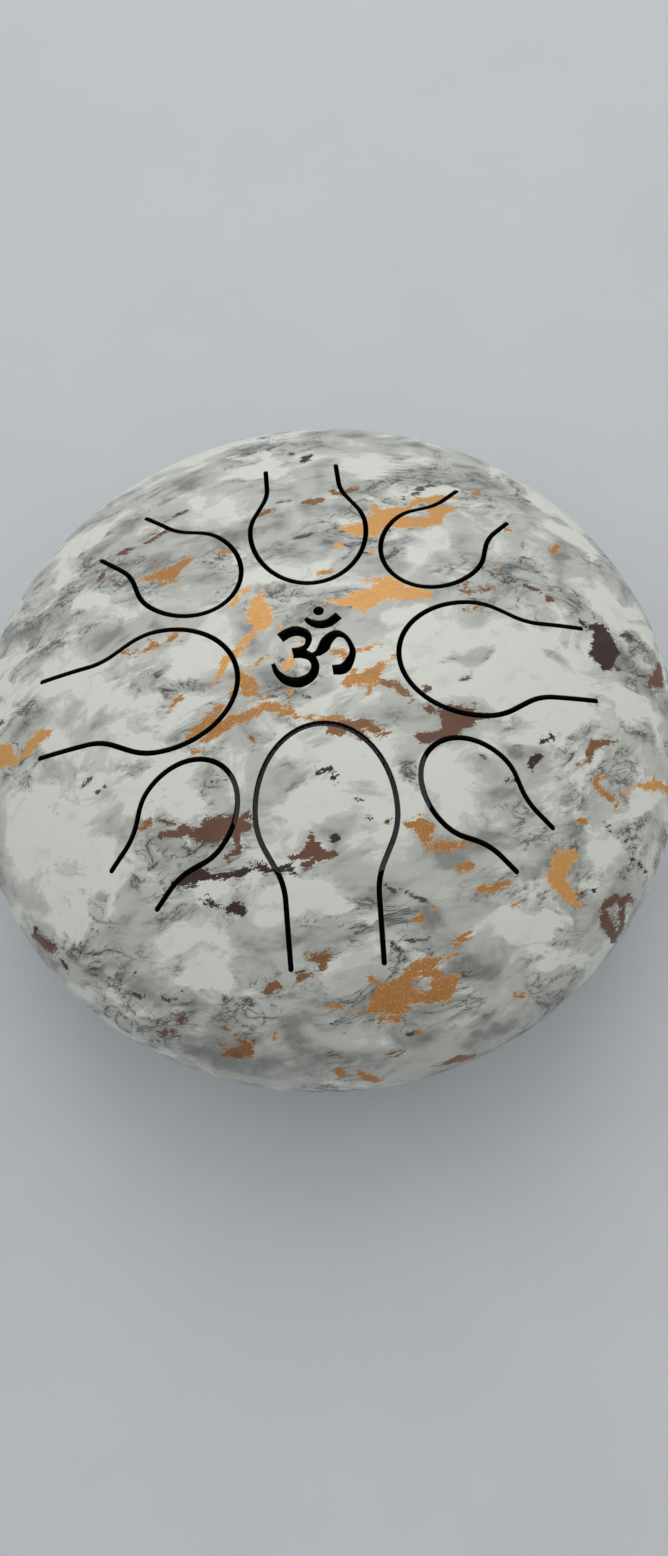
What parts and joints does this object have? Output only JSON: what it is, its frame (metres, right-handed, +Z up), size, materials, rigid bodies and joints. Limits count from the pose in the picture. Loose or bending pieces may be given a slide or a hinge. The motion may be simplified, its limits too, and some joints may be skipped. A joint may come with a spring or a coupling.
{
  "type": "tongue drum",
  "caption": "Round steel tongue drum: two domed shells welded at the rim, sprung keyhole tongues around an Om-shaped sound hole, marble film finish, rubber feet.",
  "frame": {"origin": "on the ground, below the middle of the drum", "axes": "+Z up along the drum's axis, -Y towards the longest tongue"},
  "size_m": [0.152, 0.152, 0.0728],
  "materials": {
    "marble_film": "satin film",
    "black_rubber": "matte"
  },
  "bodies": {
    "drum": {"top_shell": "marble_film", "bottom_shell": "marble_film", "seam_weld": "marble_film", "foot_1": "black_rubber", "foot_2": "black_rubber", "foot_3": "black_rubber"},
    "front": {"tongue_front": "marble_film"},
    "front_right": {"tongue_front_right": "marble_film"},
    "right": {"tongue_right": "marble_film"},
    "back_right": {"tongue_back_right": "marble_film"},
    "back": {"tongue_back": "marble_film"},
    "back_left": {"tongue_back_left": "marble_film"},
    "left": {"tongue_left": "marble_film"},
    "front_left": {"tongue_front_left": "marble_film"}
  },
  "joints": [
    {"name": "front_flex", "type": "hinge", "parent": "drum", "child": "front", "pos_m": [-0.00108, -0.05624, 0.05755], "axis": [-0.9998, 0.0175, 0], "range_deg": [-1, 1], "stiffness_Nm_per_rad": 5},
    {"name": "front_right_flex", "type": "hinge", "parent": "drum", "child": "front_right", "pos_m": [0.03822, -0.03765, 0.05895], "axis": [-0.7071, -0.7071, 0], "range_deg": [-1, 1], "stiffness_Nm_per_rad": 5},
    {"name": "right_flex", "type": "hinge", "parent": "drum", "child": "right", "pos_m": [0.05466, 0.00043, 0.05842], "axis": [0.0279, -0.9996, 0], "range_deg": [-1, 1], "stiffness_Nm_per_rad": 5},
    {"name": "back_right_flex", "type": "hinge", "parent": "drum", "child": "back_right", "pos_m": [0.03792, 0.03964, 0.05831], "axis": [0.7302, -0.6833, 0], "range_deg": [-1, 1], "stiffness_Nm_per_rad": 5},
    {"name": "back_flex", "type": "hinge", "parent": "drum", "child": "back", "pos_m": [0.00009, 0.05286, 0.05935], "axis": [0.9998, 0.0209, 0], "range_deg": [-1, 1], "stiffness_Nm_per_rad": 5},
    {"name": "back_left_flex", "type": "hinge", "parent": "drum", "child": "back_left", "pos_m": [-0.03902, 0.03996, 0.05777], "axis": [0.7218, 0.6921, 0], "range_deg": [-1, 1], "stiffness_Nm_per_rad": 5},
    {"name": "left_flex", "type": "hinge", "parent": "drum", "child": "left", "pos_m": [-0.05688, -0.00041, 0.0572], "axis": [0.0262, 0.9997, 0], "range_deg": [-1, 1], "stiffness_Nm_per_rad": 5},
    {"name": "front_left_flex", "type": "hinge", "parent": "drum", "child": "front_left", "pos_m": [-0.03845, -0.03842, 0.05858], "axis": [-0.712, 0.7022, 0], "range_deg": [-1, 1], "stiffness_Nm_per_rad": 5}
  ]
}
